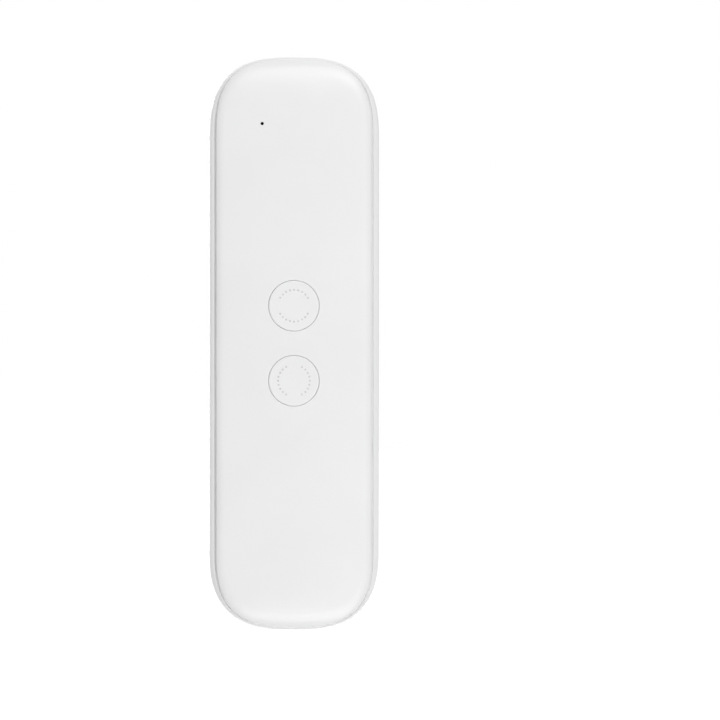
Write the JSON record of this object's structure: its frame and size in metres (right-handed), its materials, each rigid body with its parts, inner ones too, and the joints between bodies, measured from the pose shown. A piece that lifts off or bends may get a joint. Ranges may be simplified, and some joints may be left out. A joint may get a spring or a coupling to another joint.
{
  "type": "handheld translator",
  "caption": "Slim upright handheld voice translator: white two-shell case with round front push buttons, a sliding side power key, a rear speaker grille and a charge port in the lower end.",
  "frame": {"origin": "middle of the bounding box at the lower tip of the case", "axes": "+Z along the length towards the end with the microphones and the speaker grille; the front with the buttons faces -Y and the back faces +Y; +X is to the right seen from the front"},
  "size_m": [0.042, 0.0136, 0.141],
  "materials": {
    "white_case": "satin white moulded plastic",
    "white_button": "satin white moulded plastic",
    "white_key": "satin white moulded plastic with grip ribs",
    "black_plastic": "matt black moulded plastic",
    "switch_plunger": "satin",
    "steel": "plated sheet",
    "circuit_board": "green solder mask",
    "chip_black": "moulded package",
    "ceramic_white": "fired ceramic chip",
    "board_parts": "ceramic chips with tinned ends",
    "screw_steel": "zinc plated",
    "battery_foil": "laminated foil pouch",
    "tape": "foam tape",
    "lead_red": "insulated wire",
    "lead_black": "insulated wire",
    "cone": "pressed film",
    "magnet": "nickel plated",
    "foam_black": "closed foam",
    "mesh_black": "woven dust mesh",
    "capsule": "drawn can",
    "rubber_black": "moulded rubber",
    "gold_contact": "gold plated"
  },
  "bodies": {
    "case": {"front_cover": "white_case", "back_cover": "white_case", "upper_switch": "black_plastic", "lower_switch": "black_plastic", "power_switch": "steel", "main_board": "circuit_board", "main_chip": "chip_black", "memory_chip": "chip_black", "charge_chip": "chip_black", "crystal": "steel", "antenna": "ceramic_white", "board_parts": "board_parts", "board_screws": "screw_steel", "battery_cell": "battery_foil", "battery_circuit": "circuit_board", "battery_tape": "tape", "battery_lead_red": "lead_red", "battery_lead_black": "lead_black", "speaker_frame": "black_plastic", "speaker_cone": "cone", "speaker_magnet": "magnet", "speaker_gasket": "foam_black", "speaker_mesh": "mesh_black", "speaker_leads": "lead_red", "front_mic": "capsule", "front_mic_boot": "rubber_black", "side_mic": "capsule", "side_mic_boot": "rubber_black", "usb_shell": "steel", "usb_tongue": "black_plastic", "usb_contacts": "gold_contact"},
    "upper_press": {"upper_button": "white_button", "upper_plunger": "switch_plunger"},
    "lower_press": {"lower_button": "white_button", "lower_plunger": "switch_plunger"},
    "power_slide": {"power_key": "white_key", "power_lever": "black_plastic"}
  },
  "joints": [
    {"name": "upper_button_press", "type": "slide", "parent": "case", "child": "upper_press", "axis": [0, 1, 0], "range_m": [0, 0.0003], "stiffness_N_per_m": 600, "springref_m": -0.0005},
    {"name": "lower_button_press", "type": "slide", "parent": "case", "child": "lower_press", "axis": [0, 1, 0], "range_m": [0, 0.0003], "stiffness_N_per_m": 600, "springref_m": -0.0005},
    {"name": "power_key_slide", "type": "slide", "parent": "case", "child": "power_slide", "axis": [0, 0, 1], "range_m": [-0.001, 0.001]}
  ]
}
